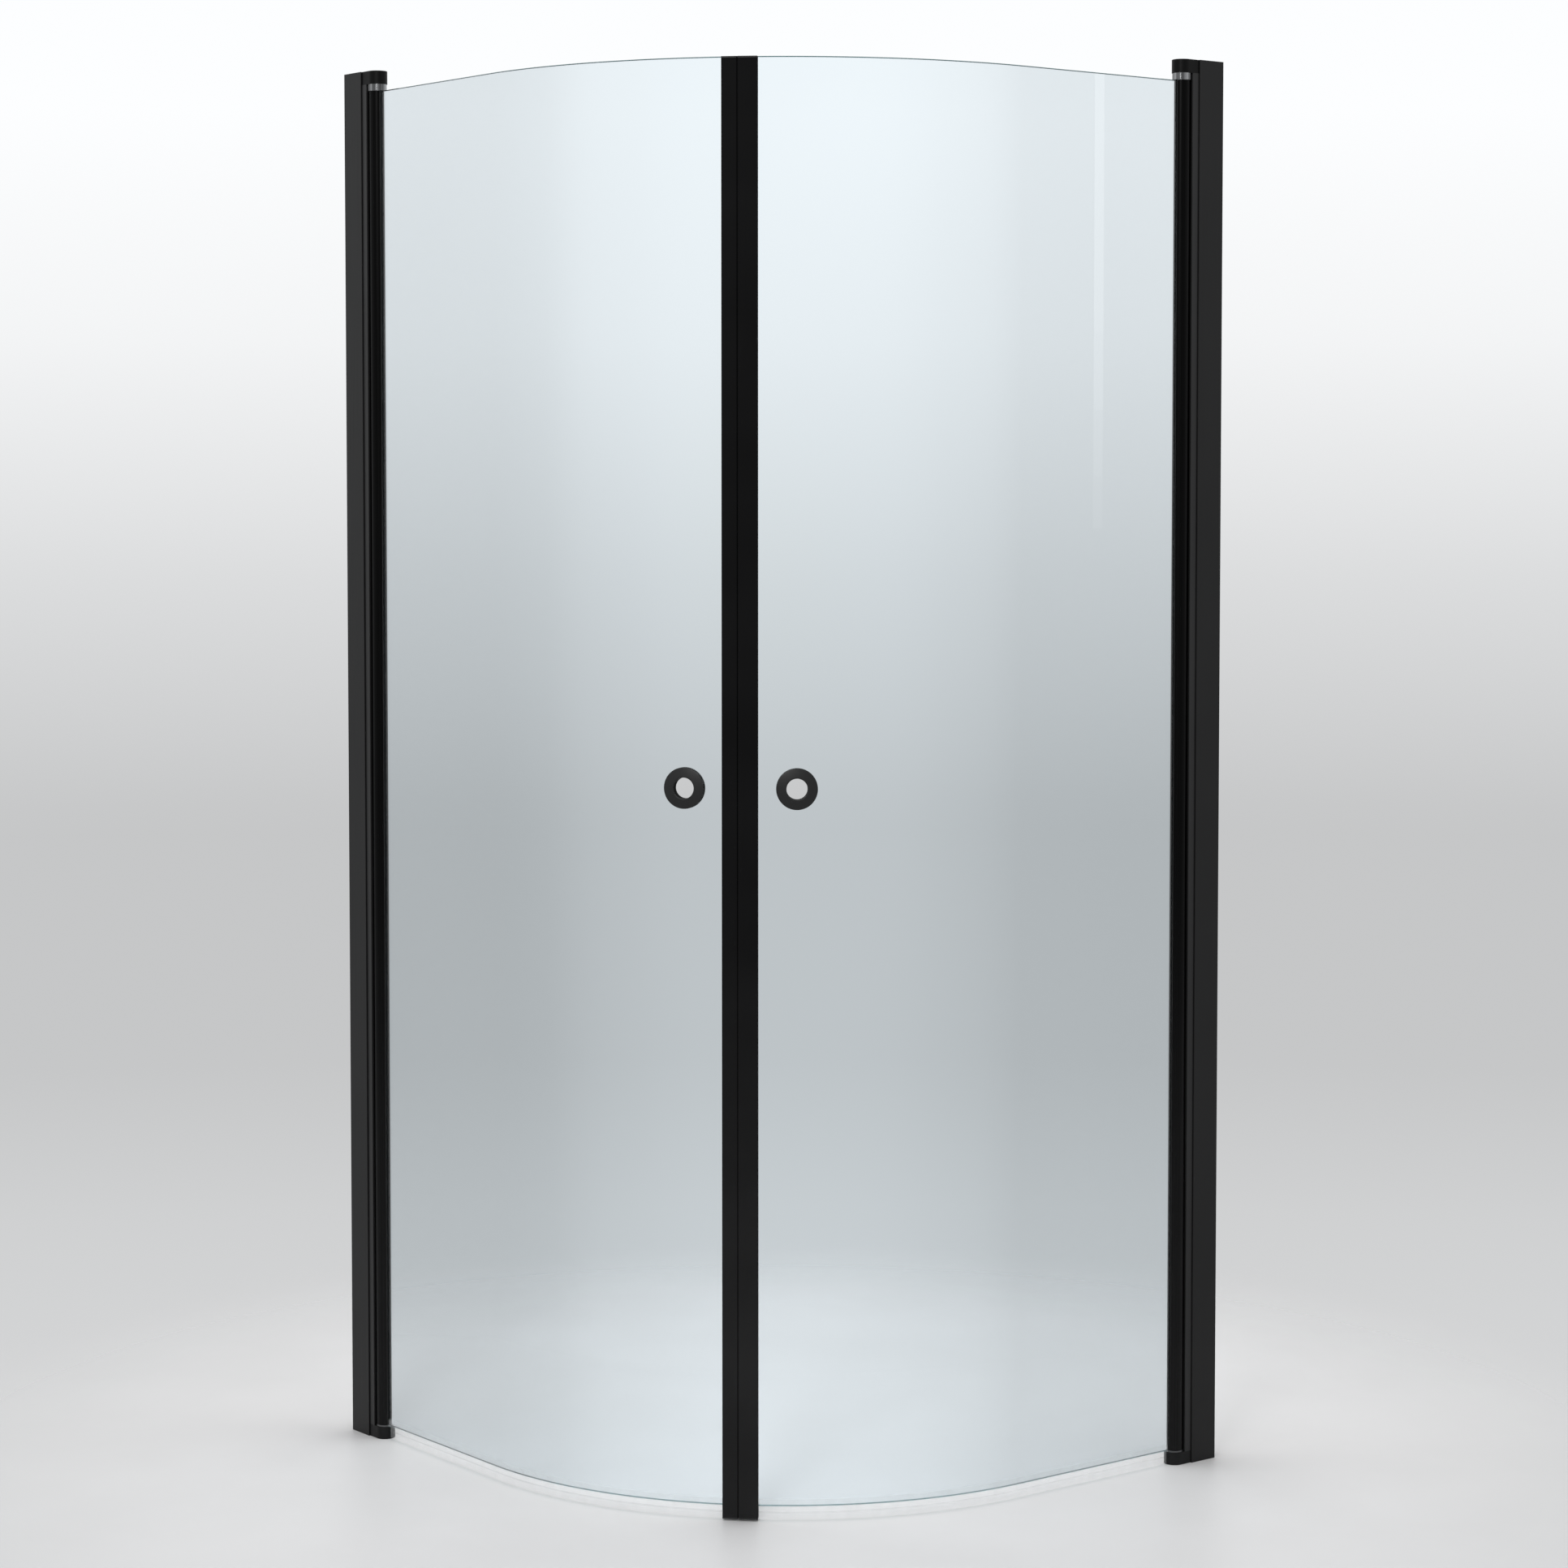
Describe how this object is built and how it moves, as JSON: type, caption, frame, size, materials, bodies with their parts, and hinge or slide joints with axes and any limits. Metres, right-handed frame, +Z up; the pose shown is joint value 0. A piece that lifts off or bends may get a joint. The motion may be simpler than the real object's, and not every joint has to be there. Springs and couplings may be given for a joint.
{
  "type": "shower enclosure",
  "caption": "Quadrant corner shower enclosure: curved clear glass doors hung on black wall posts swing out, close on magnetic strips at the diagonal, and carry round ring handles.",
  "frame": {"origin": "the room corner on the floor, where the planes of the two walls meet", "axes": "+X along the right wall away from the corner, -Y along the left wall away from the corner, +Z up; the left post's back is on X = 0 and the right post's back is on Y = 0"},
  "size_m": [0.9, 0.9, 2],
  "materials": {
    "black_profile": "satin black powder coat on extruded aluminium",
    "black_casting": "satin black powder coat on a zinc casting",
    "black_handle": "satin black ring handle",
    "black_plastic": "matte moulded plastic",
    "black_rubber": "matte rubber",
    "magnet_rubber": "flexible magnet in a matte black sleeve",
    "steel": "stainless steel",
    "chrome_collar": "satin dark chrome",
    "grey_plastic": "grey bearing plastic",
    "clear_glass": "clear tempered glass with polished edges",
    "clear_seal": "clear flexible vinyl"
  },
  "bodies": {
    "frame": {"left_wall_profile": "black_profile", "left_wall_profile_cap": "black_plastic", "left_pivot_profile": "black_profile", "left_pivot_seal": "black_rubber", "left_profile_screws": "steel", "left_top_bracket": "black_casting", "left_bottom_bracket": "black_casting", "left_bracket_screws": "steel", "left_top_pin": "steel", "left_bottom_pin": "steel", "left_top_collar": "chrome_collar", "left_bottom_washer": "grey_plastic", "right_wall_profile": "black_profile", "right_wall_profile_cap": "black_plastic", "right_pivot_profile": "black_profile", "right_pivot_seal": "black_rubber", "right_profile_screws": "steel", "right_top_bracket": "black_casting", "right_bottom_bracket": "black_casting", "right_bracket_screws": "steel", "right_top_pin": "steel", "right_bottom_pin": "steel", "right_top_collar": "chrome_collar", "right_bottom_washer": "grey_plastic"},
    "left_door": {"left_hinge_profile": "black_profile", "left_top_bush": "grey_plastic", "left_bottom_bush": "grey_plastic", "left_hinge_gasket": "black_rubber", "left_glass": "clear_glass", "left_handle_outer_ring": "black_handle", "left_handle_inner_ring": "black_handle", "left_handle_gaskets": "black_rubber", "left_handle_bush": "clear_seal", "left_closing_profile": "black_profile", "left_closing_caps": "black_plastic", "left_closing_gasket": "black_rubber", "left_magnet_strip": "magnet_rubber", "left_bottom_seal": "clear_seal"},
    "right_door": {"right_hinge_profile": "black_profile", "right_top_bush": "grey_plastic", "right_bottom_bush": "grey_plastic", "right_hinge_gasket": "black_rubber", "right_glass": "clear_glass", "right_handle_outer_ring": "black_handle", "right_handle_inner_ring": "black_handle", "right_handle_gaskets": "black_rubber", "right_handle_bush": "clear_seal", "right_closing_profile": "black_profile", "right_closing_caps": "black_plastic", "right_closing_gasket": "black_rubber", "right_magnet_strip": "magnet_rubber", "right_bottom_seal": "clear_seal"}
  },
  "joints": [
    {"name": "left_door_swing", "type": "hinge", "parent": "frame", "child": "left_door", "pos_m": [0.066, -0.884, 0], "axis": [0, 0, -1], "range_deg": [0, 90]},
    {"name": "right_door_swing", "type": "hinge", "parent": "frame", "child": "right_door", "pos_m": [0.884, -0.066, 0], "axis": [0, 0, 1], "range_deg": [0, 90]}
  ]
}
